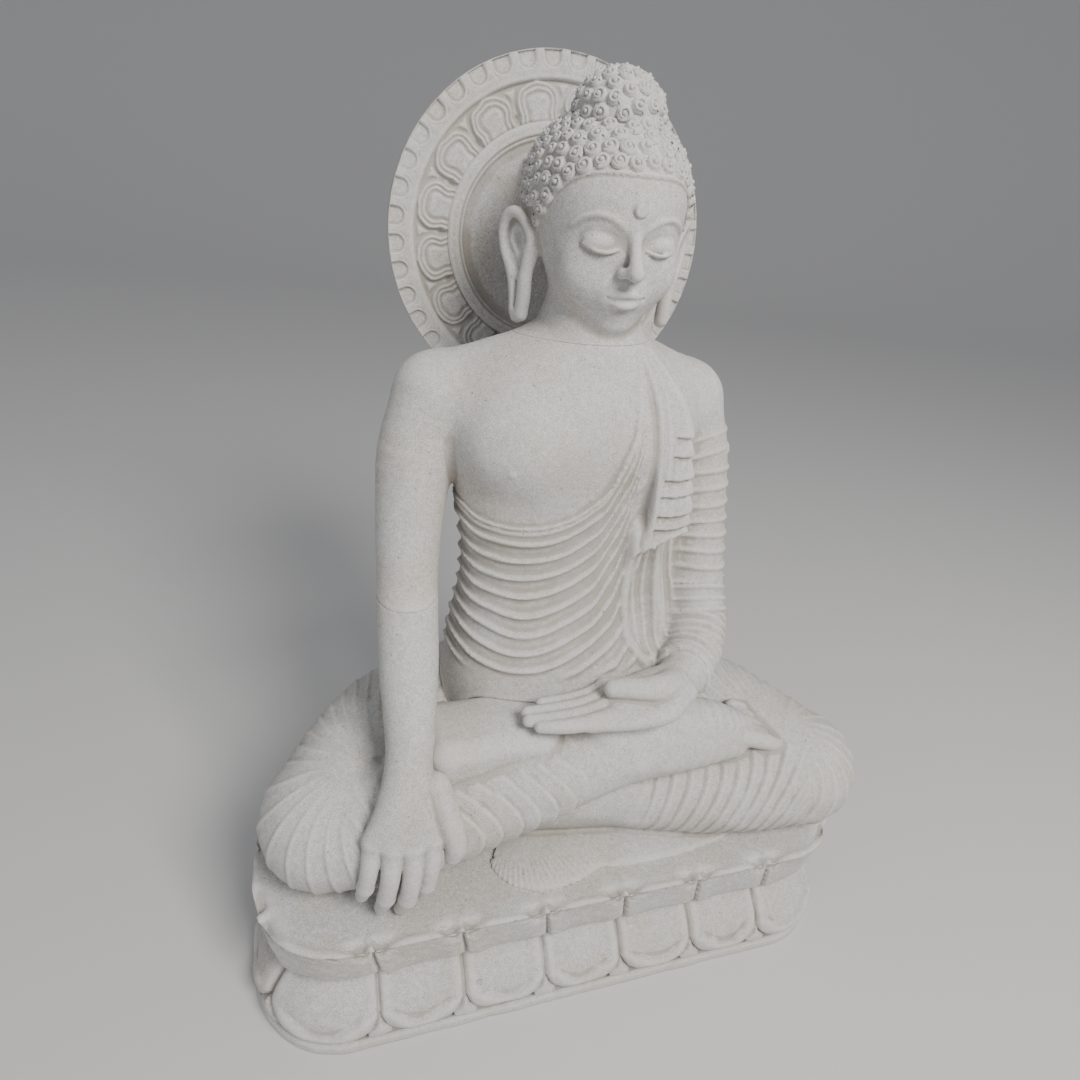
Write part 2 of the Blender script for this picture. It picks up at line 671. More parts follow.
def mirrored(q):
    m = q.copy()
    m[:, 0] = np.abs(m[:, 0])
    return m


def hairline(q):
    """Height above the edge of the hair, in the head's own frame."""
    azimuth = np.degrees(np.abs(np.arctan2(q[:, 0], -(q[:, 1] - 14))))
    return q[:, 2] - HAIRLINE(azimuth)


HAIRLINE = curve([(0, 68), (18, 67), (34, 61), (48, 47), (60, 24), (70, 0), (78, -10), (86, -2),
    (94, -4), (104, -32), (122, -58), (180, -68)])


def head_field(p):
    q = in_head(p)
    m = mirrored(q)
    d = blob(q, (0, 15, 28), (91, 106, 91))
    d = smooth_union(d, blob(q, (0, 18, 52), (80, 92, 66)), 14)
    d = smooth_union(d, blob(q, (0, -16, -4), (75, 82, 94)), 14)
    d = smooth_union(d, blob(q, (0, -38, -58), (50, 50, 44)), 22)
    d = smooth_union(d, blob(q, (0, -72, -82), (20, 14, 14)), 14)
    d = smooth_union(d, blob(m, (38, -62, -30), (28, 25, 28)), 20)
    d = smooth_union(d, blob(q, (0, -40, 38), (60, 51, 46)), 24)
    d = smooth_union(d, blob(q, (0, 10, 116), (46, 48, 40)), 7)
    d = smooth_cut(d, blob(m, (32, -106, 6), (25, 14, 13)), 10)
    d = smooth_union(d, limb(m, [(7, -94, 15, 1.6), (20, -95.5, 25, 1.8), (38, -90.5, 30, 1.8),
        (54, -79, 25, 1.4), (64, -68, 15, 0.9)]), 5)
    d = smooth_union(d, blob(m, (32, -79, 3), (20.5, 16, 13)), 3.5)
    d = smooth_union(d, limb(m, [(13, -91, -1, 1.3), (22, -96, -3.5, 1.9), (32, -97, -5, 2.1),
        (43, -92, -4, 1.9), (53, -83, 0, 1.2)]), 2.5)
    d = smooth_cut(d, limb(m, [(13, -93, -3, 0.8), (22, -98, -6.5, 1.3), (32, -99, -8, 1.5),
        (43, -94, -7, 1.3), (52, -86, -2.5, 0.8)]), 1.2)
    d = smooth_union(d, limb(q, [(0, -93, 18, 5.0), (0, -101, 4, 5.8), (0, -110, -11, 7.2),
        (0, -116, -21, 8.6)]), 7)
    d = smooth_union(d, limb(m, [(5.5, -109, -22, 5.6), (10.5, -102, -24, 5.6)]), 5)
    d = smooth_cut(d, limb(m, [(5.5, -112, -30.5, 1.8), (7.5, -105, -30, 2.0)]), 1.5)
    d = smooth_union(d, blob(q, (0, -82, -50), (27, 18, 20)), 14)
    d = smooth_cut(d, limb(q, [(0, -107, -34, 1.8), (0, -103.5, -42, 2.2)]), 4)
    d = smooth_union(d, limb(m, [(24, -89, -51, 2.2), (11, -98, -47.3, 3.8), (4, -100.5, -46.2, 4.2),
        (-4, -100.5, -46.2, 4.2)]), 2.0)
    d = smooth_union(d, limb(q, [(-19, -91, -55, 2.8), (-8, -98, -57.6, 4.6), (0, -99.5, -58.2, 5.0),
        (8, -98, -57.6, 4.6), (19, -91, -55, 2.8)]), 2.0)
    d = smooth_cut(d, limb(m, [(26, -90, -50.6, 0.9), (13, -101, -51.8, 1.1), (5, -104.5, -51.2, 1.1),
        (0, -104.5, -52.4, 1.1)]), 1.2)
    d = smooth_cut(d, blob(q, (0, -97, -68.5), (14, 5, 4)), 8)
    disc = np.maximum(np.hypot(q[:, 0], q[:, 2] - 38) - 7.2, np.abs(q[:, 1] + 94) - 8.0)
    d = smooth_union(d, np.where(q[:, 1] < -60, disc, FAR), 1.4)
    # ears
    d = smooth_union(d, blob(m, (92, 11, -22), (9, 25, 35), (0, 0, -31)), 8)
    d = smooth_union(d, block(m, (93, 3, -76), (6.5, 12, 28), 6.0, (0, 0, -24)), 5)
    d = smooth_union(d, limb(m, [(88, -7, -18, 4.5), (92, -4, -3, 5.2), (101, 7, 10, 6.0),
        (109, 19, 8, 6.2), (113, 26, -9, 6.0), (111, 23, -29, 6.0), (105, 16, -45, 6.8),
        (100, 11, -59, 7.6), (97, 8, -76, 8.0), (95, 5, -94, 8.6), (94, 3, -102, 8.2)]), 4)
    d = smooth_union(d, limb(m, [(88, -5, -24, 6.5), (89, -4, -40, 7.5), (90, -5, -58, 8.0),
        (90, -6, -78, 8.2), (91, -5, -98, 8.0)]), 4)
    d = smooth_cut(d, blob(m, (108, 5, -19), (12, 13, 22), (0, 0, -31)), 3)
    d = smooth_union(d, limb(m, [(101, 18, -8, 3.2), (103, 18, -20, 3.4), (97, 10, -34, 3.2)]), 3)
    slit = m.copy()
    slit[:, 0] = np.where(slit[:, 0] > 70, 92, 60)
    d = smooth_cut(d, limb(slit, [(92, 2, -62, 1.7), (92, -1, -90, 1.9)]), 1.5)
    d = smooth_union(d, bust(p), 9)
    # the block that ties the head to the halo
    back = np.maximum(np.abs(p[:, 0] - 4) - 44, np.abs(p[:, 2] - 1030) - 50)
    back = np.maximum(back, np.maximum(80 - p[:, 1], p[:, 1] - 173.4))
    return smooth_union(d, back, 10)


def head_relief(p):
    q = in_head(p)
    above = hairline(q)
    hair = step(-1.2, 1.2, above) ** 2
    ears = step(86, 80, np.abs(q[:, 0]))
    fillet = np.exp(-(((above - 1.5) / 2.2) ** 2))
    knob = step(16, 24, q[:, 2])
    return 2.2 * hair * np.maximum(ears, knob) + 0.5 * fillet * ears + 0.25 * noise(p, 50, 33)


head_piece = carve("head_block", head_field, (-138, -150, 880), (152, 180, 1180), 2.15, head_relief)
saw(head_piece, (0, 0, NECK_JOINT), (0, 0, -1))


# ---------------------------------------------------------------- curls

def stack_rings(points, faces, count, rings):
    """Adds rings of count points, given as (radius, height), and gives the last ring's first point."""
    start = len(points)
    for radius, height in rings:
        for k in range(count):
            a = k * np.pi / (count / 2)
            points.append(np.array((radius * math.cos(a), radius * math.sin(a), height)))
    last = len(points) - count
    for ring in range(start, last, count):
        for k in range(count):
            a, b = ring + k, ring + (k + 1) % count
            faces.append((a, b, b + count, a + count))
    return last


def curl_shape(turns=1.3, steps=13):
    """A small snail: a coil that climbs a low cone, round a knob in the middle."""
    points, faces = [], []
    up = np.array((0, 0, 1.0))
    for i in range(steps + 1):
        t = i / steps
        angle = 2 * np.pi * turns * t
        out = np.array((np.cos(angle), np.sin(angle), 0.0))
        centre = out * 6.7 * (1 - 0.46 * t**1.3) + up * (0.8 + 1.5 * t)
        tube = 2.4 - 0.7 * t
        if i == steps:
            centre, tube = out * 2.0 + up * 2.2, 0.7
        for k in range(4):
            a = (-0.2 + 1.4 * k / 3) * np.pi
            points.append(centre + tube * (np.cos(a) * out + np.sin(a) * up))
        if i:
            n = len(points)
            for k in range(3):
                faces.append((n - 8 + k, n - 4 + k, n - 4 + k + 1, n - 8 + k + 1))
    tip = stack_rings(points, faces, 6, ((2.6, 0.0), (2.5, 3.6), (1.3, 5.0)))
    faces += [(tip, tip + k, tip + 1 + k, tip + 2 + k) for k in (1, 3)]
    tip = stack_rings(points, faces, 8, ((8.6, -2.5), (8.2, 0.4), (6.0, 1.6)))
    faces += [(tip, tip + k, tip + 1 + k, tip + 2 + k) for k in (1, 3, 5)]
    return np.array(points), faces


def curl_places():
    """Packs curls over the hair, row above row from the edge of the hair upwards."""
    mesh = head_piece.data
    where = read(mesh.vertices, "co", 3) / np.float32(MM)
    normal = read(mesh.vertices, "normal", 3)
    q = in_head(where)
    above = hairline(q)
    azimuth = np.degrees(np.abs(np.arctan2(q[:, 0], -(q[:, 1] - 14))))
    radius = np.interp(azimuth, [0, 50, 75, 180], [10.2, 9.9, 8.2, 9.0]) - 1.0 * step(40, 70, above)
    ear = (np.abs(q[:, 0]) > 80) & (q[:, 2] < 23) & (q[:, 1] > -12) & (q[:, 1] < 38)
    tie = (where[:, 1] > 104) & (np.abs(where[:, 0] - 4) < 52) & (np.abs(where[:, 2] - 1030) < 60)
    fits = (above > 9.5) & ~ear & ~tie & (where[:, 2] > 935) & (where[:, 1] < 160)
    order = np.flatnonzero(fits)
    level = np.floor((above[order] - 9.5) / 3.0)
    order = order[np.lexsort((q[order, 0], level))]
    kept = np.empty((0, 3), np.float32)
    sizes = np.empty(0, np.float32)
    chosen = []
    for i in order:
        room = np.sqrt(np.sum((kept - where[i]) ** 2, 1)) - 0.88 * (sizes + radius[i])
        if len(room) and room.min() < 0:
            continue
        kept = np.vstack([kept, where[i]])
        sizes = np.append(sizes, radius[i])
        chosen.append((where[i], normal[i], radius[i]))
    return chosen


def curls():
    shape, faces = curl_shape()
    all_points, all_faces = [], []
    for n, (where, normal, size) in enumerate(curl_places()):
        turn = RNG.uniform(0, 2 * np.pi)
        side = np.cross(normal, (0.13, 0.2, 0.97))
        side /= np.linalg.norm(side)
        other = np.cross(normal, side)
        x = math.cos(turn) * side + math.sin(turn) * other
        frame3 = np.stack([x, np.cross(normal, x), normal], 1)
        scale = size / 9.1 * RNG.uniform(0.94, 1.04)
        all_points.append(where + 0.9 * normal + (shape * scale) @ frame3.T)
        all_faces.append(np.array(faces) + n * len(shape))
    return stone_mesh("hair_curls", np.vstack(all_points) * MM, np.vstack(all_faces).astype(np.int32))


hair = curls()

# ---------------------------------------------------------------- halo

HALO_RADIUS, HALO_CENTRE, HALO_FRONT, HALO_BACK = 220.0, 980.0, 174.0, 214.0


def halo_relief(r, a):
    """Height of the halo's face over its deepest level, at radius r and angle a."""
    s = r / HALO_RADIUS
    h = np.full(r.shape, 3.0)
    h += 4.0 * step(0.553, 0.558, s)
    h += 4.5 * step(0.578, 0.586, s) - 7.0 * step(0.640, 0.648, s)
    # petals, each with two nested ridges
    pitch = 2 * np.pi / 16
    u = (np.mod(a, pitch) - pitch / 2) * r
    v = r - 0.648 * HALO_RADIUS
    spots = np.stack([u + 0 * r, v, r * np.sin(a)], -1).reshape(-1, 3).astype(np.float32)
    u = u + 0.9 * noise(spots, 30, 44).reshape(r.shape)
    tip = 2.2 * np.exp(-((u / 9.0) ** 2)) * step(20, 40, v)
    v = v + 0.9 * noise(spots, 26, 45).reshape(r.shape) - tip
    half = 25.0 + 0.16 * v - 1.6 * np.exp(-(((v - 9) / 5.0) ** 2))
    corner = 22.0
    qx, qy = np.abs(u) - (half - corner), v - (41.5 - corner)
    inside = corner - np.sqrt(np.maximum(qx, 0) ** 2 + np.maximum(qy, 0) ** 2)
    inside = np.minimum(inside, half - np.abs(u))
    petal = 3.4 * np.exp(-(((inside - 2.4) / 2.0) ** 2)) + 2.8 * np.exp(-(((inside - 8.2) / 1.9) ** 2))
    petal += 3.0 * step(11.0, 17.0, inside) - 0.8 * step(18, 26, inside) + 1.6 * step(-1, 2, inside)
    on = step(0.646, 0.652, s) * step(0.852, 0.846, s)
    w = np.mod(a + pitch / 2, pitch) - pitch / 2
    dart = step(0.0, 4.0, (v - 24) * 0.55 - np.abs(w * r)) * step(41, 37, v)
    hole = np.exp(-((w * r / 2.3) ** 2) - ((v - 8.0) / 4.0) ** 2)
    h += on * (petal + 3.0 * dart * step(1.5, -1.0, inside) - 3.5 * hole)
    # fillet and the scalloped border
    h += 6.5 * step(0.846, 0.856, s)
    pitch = 2 * np.pi / 40
    u = (np.mod(a, pitch) - pitch / 2) * r
    v = r - 0.906 * HALO_RADIUS
    cup = 12.0 - np.sqrt(u**2 + (v - 12.0) ** 2)
    cup = np.where(v > 12.0, 12.0 - np.abs(u), cup)
    h -= 3.4 * step(-0.3, 1.5, cup) * (0.75 + 0.5 * step(0.9, 0.99, s))
    h -= 1.2 * np.exp(-(((cup + 2.6) / 0.9) ** 2)) * step(0.90, 0.91, s)
    return h


def halo():
    turns = 840
    stops = np.concatenate([
        np.linspace(8, 118, 12), np.linspace(121, 144, 16), np.linspace(145.5, 186, 30),
        np.linspace(187.5, 198, 7), np.linspace(199, 218.6, 19),
    ])
    a = np.linspace(0, 2 * np.pi, turns, endpoint=False)
    r, t = np.meshgrid(stops, a, indexing="ij")
    top = halo_relief(r, t)
    y = HALO_FRONT + 12.5 - top
    spots = np.stack([r * np.cos(t), y, r * np.sin(t)], -1).reshape(-1, 3).astype(np.float32)
    rough = noise(spots, 45, 41)
    y = y + 0.25 * rough.reshape(y.shape)
    rings = [(r * np.sin(t), y, r * np.cos(t))]
    wave = 0.5 * np.sin(a * 37) + 0.4 * np.sin(a * 23 + 1)
    for radius, level in ((219.4, HALO_FRONT + 1.6), (220.0, HALO_FRONT + 4), (219.6, HALO_FRONT + 16),
        (218.6, HALO_FRONT + 30), (216.5, HALO_BACK - 1.6), (214.0, HALO_BACK), (150, HALO_BACK),
        (70, HALO_BACK)):
        ring = radius - np.abs(wave) * (0.4 if radius > 200 else 0)
        rings.append(((ring * np.sin(a))[None], np.full((1, turns), level), (ring * np.cos(a))[None]))
    points = np.stack([np.concatenate([ring[i] for ring in rings]) for i in range(3)], -1)
    points[..., 2] += HALO_CENTRE
    return lathe_mesh("halo_disc", points, (0, HALO_FRONT + 12.5 - 3, HALO_CENTRE),
        (0, HALO_BACK, HALO_CENTRE))


def lathe_mesh(name, points, first_pole, last_pole):
    """Rings of points, each closed round, with a fan at both ends. points is (rings, around, 3)."""
    rings, around = points.shape[:2]
    index = np.arange(rings * around).reshape(rings, around)
    nxt = np.roll(index, -1, axis=1)
    quads = np.stack([index[:-1], index[1:], nxt[1:], nxt[:-1]], -1).reshape(-1, 4)
    all_points = np.vstack([points.reshape(-1, 3), [first_pole], [last_pole]])
    made = stone_mesh(name, all_points * MM, quads.astype(np.int32))
    work = bmesh.new()
    work.from_mesh(made.data)
    work.verts.ensure_lookup_table()
    n = rings * around
    for i in range(around):
        j = (i + 1) % around
        work.faces.new((work.verts[n], work.verts[i], work.verts[j]))
        last = (rings - 1) * around
        work.faces.new((work.verts[n + 1], work.verts[last + j], work.verts[last + i]))
    bmesh.ops.recalc_face_normals(work, faces=work.faces)
    work.to_mesh(made.data)
    work.free()
    made.data.shade_smooth()
    return made


halo_piece = halo()

# ---------------------------------------------------------------- throne

THRONE = {"half": 392.0, "front": -202.0, "back": 164.0, "front_corner": 76.0, "back_corner": 212.0}


def throne_outline(count_per_petal, pitch=116.0):
    """Points evenly round the throne's waist, their outward normals, and the petal coordinate of each."""
    f, b, half = THRONE["front_corner"], THRONE["back_corner"], THRONE["half"]
    depth = THRONE["back"] - THRONE["front"] - f - b
    quarter = math.pi / 2
    edges = [(half - f, 0), (quarter * f, f), (depth, 0), (quarter * b, b), (2 * (half - b), 0),
             (quarter * b, b), (depth, 0), (quarter * f, f), (half - f, 0)]
    total = sum(e[0] for e in edges)
    petals = round(total / pitch)
    n = petals * count_per_petal
    where, normal = [], []
    for i in range(n):
        rest = total * i / n
        x, y, heading = 0.0, THRONE["front"], 0.0
        for length, radius in edges:
            run = min(rest, length)
            if radius:
                turned = heading + run / radius
                x += radius * (math.sin(turned) - math.sin(heading))
                y += radius * (math.cos(heading) - math.cos(turned))
                heading = turned
            else:
                x += run * math.cos(heading)
                y += run * math.sin(heading)
            rest -= run
            if rest <= 1e-9:
                break
        where.append((x, y))
        normal.append((math.sin(heading), -math.cos(heading)))
    share = np.arange(n) / count_per_petal
    u = (np.mod(share + 0.5, 1.0) - 0.5) * total / petals
    number = np.floor(share + 0.5) % petals
    return np.array(where), np.array(normal), u, number, total / petals


def sweep_course(name, profile, relief, inner_top, inner_bottom):
    """A course of the throne: a profile of (offset outwards, height) swept round the waist outline."""
    per = 54
    where, normal, u, number, pitch = throne_outline(per)
    profile = np.array(profile, float)
    length = np.concatenate([[0], np.cumsum(np.linalg.norm(np.diff(profile, axis=0), axis=1))])
    fine = np.arange(0, length[-1], 2.1)
    slopes = np.gradient(profile, length, axis=0)
    i = np.clip(np.searchsorted(length, fine, "right") - 1, 0, len(length) - 2)
    width = (length[i + 1] - length[i])[:, None]
    t = ((fine - length[i]) / width[:, 0])[:, None]
    pull = width * 0.6
    o = hermite(t, profile[i], profile[i + 1], pull * slopes[i], pull * slopes[i + 1])
    tangent = np.gradient(o, axis=0)
    tangent /= np.linalg.norm(tangent, axis=1)[:, None]
    out2 = np.stack([tangent[:, 1], -tangent[:, 0]], 1)
    v, uu = np.meshgrid(fine, u, indexing="ij")
    num = np.broadcast_to(number, v.shape)
    spots = np.stack([*(np.broadcast_to(where[:, i], v.shape) for i in (0, 1)), v], -1)
    h, lift = relief(uu, v, num, pitch, spots.reshape(-1, 3).astype(np.float32), v.shape)
    offset = o[:, :1] + out2[:, :1] * h
    z = o[:, 1:] + out2[:, 1:] * h + lift
    x = where[:, 0] + normal[:, 0] * offset
    y = where[:, 1] + normal[:, 1] * offset
    wall = np.stack([x, y, z], -1)
    centre = np.array((0.0, (THRONE["front"] + THRONE["back"]) / 2))

    def inward(base, shares, height):
        """Rings from the edge base towards the middle, settling to one height."""
        made = []
        for share in shares:
            flat = base[:, :2] * (1 - share) + centre * share
            level = base[:, 2] + (height - base[:, 2]) * min(1.0, share * 14)
            made.append(np.concatenate([flat, level[:, None]], 1))
        return np.array(made)

    top = inward(wall[-1], (0.012, 0.03, 0.06, 0.1, 0.16, 0.24, 0.34, 0.46, 0.6, 0.75, 0.9),
        inner_top)
    bottom = inward(wall[0], (0.9, 0.6, 0.3, 0.1, 0.03), inner_bottom)
    points = np.concatenate([bottom, wall, top])
    return lathe_mesh(name, points, (*centre, inner_bottom), (*centre, inner_top))


def petal_inside(u, v, half, corner, bottom):
    """Distance in from the edge of a petal that is round at its low end."""
    qx, qy = np.abs(u) - (half - corner), corner - (v - bottom)
    round_end = corner - np.sqrt(np.maximum(qx, 0) ** 2 + np.maximum(qy, 0) ** 2)
    return np.minimum(round_end, half - np.abs(u))


def lower_relief(u, v, number, pitch, p, shape):
    start = 22.0
    n1 = noise(p, 70, 51).reshape(shape)
    n2 = noise(p, 23, 52).reshape(shape)
    lean = 0.9 * np.sin(number * 2.4)
    half = pitch / 2 - 1.9
    inside = petal_inside(u + lean * 0.6, v, half + 0.4 * n2, 38.0 + 2.0 * np.sin(number * 1.7),
        start + 7 + 1.5 * np.sin(number * 3.1))
    level = -11.0 + 11.0 * step(-0.3, 1.6, inside)
    level -= 3.2 * step(9.0, -1.0, inside) ** 2
    level -= 1.6 * step(6.0, 26.0, inside)
    across = u / pitch
    crease = start + 34 - 9 * np.cos(across * 2.4 * np.pi) + 2.5 * np.sin(u / 11.0 + number * 2.0)
    lip = step(6.0, -9.0, v - crease) * step(-2, 17, inside) * (1.0 - 0.35 * step(8, 26, crease - v))
    level += (6.0 + 1.5 * np.sin(number * 1.3)) * lip * step(0.47, 0.3, np.abs(across))
    # the small kite between two petals
    gap = pitch / 2 - np.abs(u)
    kite = 15.0 - np.abs(gap) * 0.85 - np.abs(v - start - 11.0) * 0.62
    kite_level = 11.0 * step(-0.2, 1.6, kite) * step(-1.2, -3.2, inside)
    level = np.maximum(level, -11.0 + kite_level + 1.5 * step(2, 12, kite))
    level = np.where(v < start - 3, 0.0, level * step(start - 4.5, start - 1.5, v))
    level = level * step(126, 116, v)
    x, y = p[:, 0].reshape(shape), p[:, 1].reshape(shape)
    chip = step(1.0, 0.6, np.hypot((x + 152) / 6.5, (v - 76) / 4.5)) * (y < -150)
    return level + 0.6 * n1 + 0.25 * n2 - 2.2 * chip, 0.0


LOWER_PROFILE = [(50, 0), (50.5, 4), (50, 13), (46, 14.5), (43, 15.0), (49.5, 22), (50.5, 34),
    (47.5, 52), (38, 70), (22, 88), (6, 100), (-2, 104)]
UPPER_PROFILE = [(-4, 107), (9, 107), (21, 111), (28, 121), (32.5, 138), (35.5, 156), (39.5, 174),
    (43.8, 184.6), (40.4, 186.6), (34, 185.8), (26, 186)]


def upper_relief(u, v, number, pitch, p, shape):
    n1 = noise(p, 60, 61).reshape(shape)
    n2 = noise(p, 19, 62).reshape(shape)
    n3 = noise(p, 8, 63).reshape(shape)
    slant = 0.16 * (v - 50)
    w = np.mod(u + slant + pitch / 2, pitch) - pitch / 2
    inside = pitch / 2 - 1.3 + 0.3 * n2 - np.abs(w)
    face = step(10, 18, v) * step(98, 92, v)
    level = -5.5 * step(1.6, -0.3, inside)
    level += 2.6 * step(0, 16, inside) - 1.2 * step(16, 40, inside)
    level += 2.2 * step(34, 8, w + pitch / 2) * step(0, 3, inside)
    level = level * face
    # the rim dips towards each gap, where a small chipped point stands
    rim = step(76, 94, v)
    dip = step(20, 52, np.abs(w))
    point = np.exp(-((inside / 4.5) ** 2))
    chips = step(0.35, 0.9, n2 + 0.6 * n3) * step(84, 93, v) * step(106, 96, v)
    edge = rim * step(124, 110, v)
    lift = edge * (-8.0 * dip + 9.0 * point + 0.9 * n1) - 1.5 * chips
    level += edge * (-6.0 * dip + 6.0 * point) - 2.8 * chips
    quiet = step(110, 119, v)
    return level + (0.5 * n1 + 0.35 * n2) * (1 - quiet), lift


lower_course = sweep_course("lotus_base", LOWER_PROFILE, lower_relief, 104.0, 0.0)
upper_course = sweep_course("lotus_seat", UPPER_PROFILE, upper_relief, 186.0, 107.0)

# ---------------------------------------------------------------- materials

def make_group(name, inputs, outputs):
    """An empty node group with named sockets. inputs are (label, kind, default)."""
    group = bpy.data.node_groups.new(name, "ShaderNodeTree")
    for label, kind, default in inputs:
        socket = group.interface.new_socket(label, in_out="INPUT", socket_type="NodeSocket" + kind)
        if default is not None:
            socket.default_value = default
    for label, kind in outputs:
        group.interface.new_socket(label, in_out="OUTPUT", socket_type="NodeSocket" + kind)
    return group, group.nodes.new("NodeGroupInput"), group.nodes.new("NodeGroupOutput")


def add(tree, kind, inputs=None, **settings):
    """Adds a node, sets its settings and fills its inputs with values or other nodes' outputs."""
    made = tree.nodes.new("ShaderNode" + kind)
    for key, value in settings.items():
        setattr(made, key, value)
    for key, value in (inputs or {}).items():
        if isinstance(value, bpy.types.NodeSocket):
            tree.links.new(value, made.inputs[key])
        else:
            made.inputs[key].default_value = value
    return made


def blend(tree, share, a, b, mode="MIX"):
    """Mixes two colours and gives the result."""
    made = add(tree, "Mix", {0: share, 6: a, 7: b}, data_type="RGBA", blend_type=mode)
    return made.outputs[2]


def ramp(tree, value, low, high, bottom=0.0, top=1.0):
    made = add(tree, "MapRange", {"Value": value, "From Min": low, "From Max": high, "To Min": bottom,
        "To Max": top})
    made.interpolation_type = "SMOOTHSTEP"
    return made.outputs["Result"]


def math_node(tree, what, a, b=0.0):
    return add(tree, "Math", {0: a, 1: b}, operation=what).outputs[0]


def grain_group():
    """Sand grains, dark mineral specks and pin holes."""
    group, start, end = make_group(
        "stone_grain",
        (("Vector", "Vector", None), ("Grain Scale", "Float", 480.0), ("Speck Size", "Float", 0.16),
            ("Pit Size", "Float", 0.13)),
        (("Tone", "Float"), ("Specks", "Float"), ("Light Specks", "Float"), ("Height", "Float")),
    )
    v = start.outputs["Vector"]
    fine = add(group, "TexNoise", {"Vector": v, "Scale": start.outputs["Grain Scale"], "Detail": 3.0,
        "Roughness": 0.75})
    coarse = add(group, "TexNoise", {"Vector": v, "Scale": 150.0, "Detail": 3.0, "Roughness": 0.6})
    tone = math_node(group, "MULTIPLY", fine.outputs["Fac"], 0.82)
    tone = math_node(group, "ADD", tone, math_node(group, "MULTIPLY", coarse.outputs["Fac"], 0.18))
    cells = add(group, "TexVoronoi", {"Vector": v, "Scale": 230.0})
    chosen = add(group, "SeparateColor", {"Color": cells.outputs["Color"]})
    dark = ramp(group, cells.outputs["Distance"], start.outputs["Speck Size"], 0.06, 0.0, 1.0)
    dark = math_node(group, "MULTIPLY", dark, math_node(group, "GREATER_THAN", chosen.outputs[0], 0.78))
    light = ramp(group, cells.outputs["Distance"], 0.24, 0.1, 0.0, 1.0)
    light = math_node(group, "MULTIPLY", light, math_node(group, "LESS_THAN", chosen.outputs[0], 0.22))
    holes = add(group, "TexVoronoi", {"Vector": v, "Scale": 75.0})
    picked = add(group, "SeparateColor", {"Color": holes.outputs["Color"]})
    pit = ramp(group, holes.outputs["Distance"], start.outputs["Pit Size"], 0.05, 0.0, 1.0)
    pit = math_node(group, "MULTIPLY", pit, math_node(group, "GREATER_THAN", picked.outputs[1], 0.62))
    height = math_node(group, "SUBTRACT", tone, math_node(group, "MULTIPLY", pit, 1.6))
    specks = math_node(group, "MAXIMUM", dark, math_node(group, "MULTIPLY", pit, 0.8))
    for label, value in (("Tone", tone), ("Specks", specks), ("Light Specks", light),
        ("Height", height)):
        group.links.new(value, end.inputs[label])
    return group


def wear_group():
    """Where dust settles in hollows, and where edges are rubbed pale."""
    group, start, end = make_group(
        "dust_and_wear",
        (("Vector", "Vector", None), ("Hollow", "Float", 0.0), ("Dust Start", "Float", 0.17),
            ("Wear Start", "Float", 0.15)),
        (("Dust", "Float"), ("Wear", "Float"), ("Patches", "Float")),
    )
    v = start.outputs["Vector"]
    patches = add(group, "TexNoise", {"Vector": v, "Scale": 9.0, "Detail": 5.0, "Roughness": 0.6})
    ragged = add(group, "TexNoise", {"Vector": v, "Scale": 70.0, "Detail": 4.0, "Roughness": 0.7})
    broken = math_node(group, "MULTIPLY", math_node(group, "SUBTRACT", ragged.outputs["Fac"], 0.5), 0.5)
    level = math_node(group, "ADD", start.outputs["Hollow"], broken)
    dust = ramp(group, math_node(group, "SUBTRACT", level, start.outputs["Dust Start"]), 0.0, 0.7)
    dust = math_node(group, "MULTIPLY", dust, ramp(group, patches.outputs["Fac"], 0.3, 0.62, 0.35, 1.0))
    wear = ramp(group, math_node(group, "SUBTRACT", math_node(group, "MULTIPLY", level, -1.0),
        start.outputs["Wear Start"]), 0.0, 0.6)
    for label, value in (("Dust", dust), ("Wear", wear), ("Patches", patches.outputs["Fac"])):
        group.links.new(value, end.inputs[label])
    return group


GRAIN = grain_group()
WEAR = wear_group()


def stone_material(name, body, second, dust, worn, grain=820.0, rough=(0.8, 0.96), relief=0.4):
    made = bpy.data.materials.new(name)
    made.use_nodes = True
    tree = made.node_tree
    shader = tree.nodes["Principled BSDF"]
    place = add(tree, "TexCoord").outputs["Object"]
    hollow = add(tree, "Attribute", attribute_name="hollow").outputs["Fac"]
    g = add(tree, "Group", node_tree=GRAIN)
    tree.links.new(place, g.inputs["Vector"])
    g.inputs["Grain Scale"].default_value = grain
    w = add(tree, "Group", node_tree=WEAR)
    tree.links.new(place, w.inputs["Vector"])
    tree.links.new(hollow, w.inputs["Hollow"])
    c = blend(tree, ramp(tree, w.outputs["Patches"], 0.35, 0.65), (*body, 1), (*second, 1))
    shade = ramp(tree, g.outputs["Tone"], 0.34, 0.66, 0.62, 1.26)
    grey = add(tree, "CombineColor", {0: shade, 1: shade, 2: shade}).outputs[0]
    c = blend(tree, 1.0, c, grey, "MULTIPLY")
    c = blend(tree, math_node(tree, "MULTIPLY", w.outputs["Wear"], 0.3), c, (*worn, 1))
    c = blend(tree, math_node(tree, "MULTIPLY", w.outputs["Dust"], 0.75), c, (*dust, 1))
    c = blend(tree, math_node(tree, "MULTIPLY", g.outputs["Light Specks"], 0.4), c, (*worn, 1))
    c = blend(tree, math_node(tree, "MULTIPLY", g.outputs["Specks"], 0.62), c,
        (body[0] * 0.3, body[1] * 0.29, body[2] * 0.27, 1))
    tree.links.new(c, shader.inputs["Base Color"])
    tree.links.new(ramp(tree, g.outputs["Tone"], 0.3, 0.7, *rough), shader.inputs["Roughness"])
    shader.inputs["Specular IOR Level"].default_value = 0.25
    bump = add(tree, "Bump", {"Height": g.outputs["Height"], "Strength": relief, "Distance": 0.0011})
    tree.links.new(bump.outputs["Normal"], shader.inputs["Normal"])
    return made


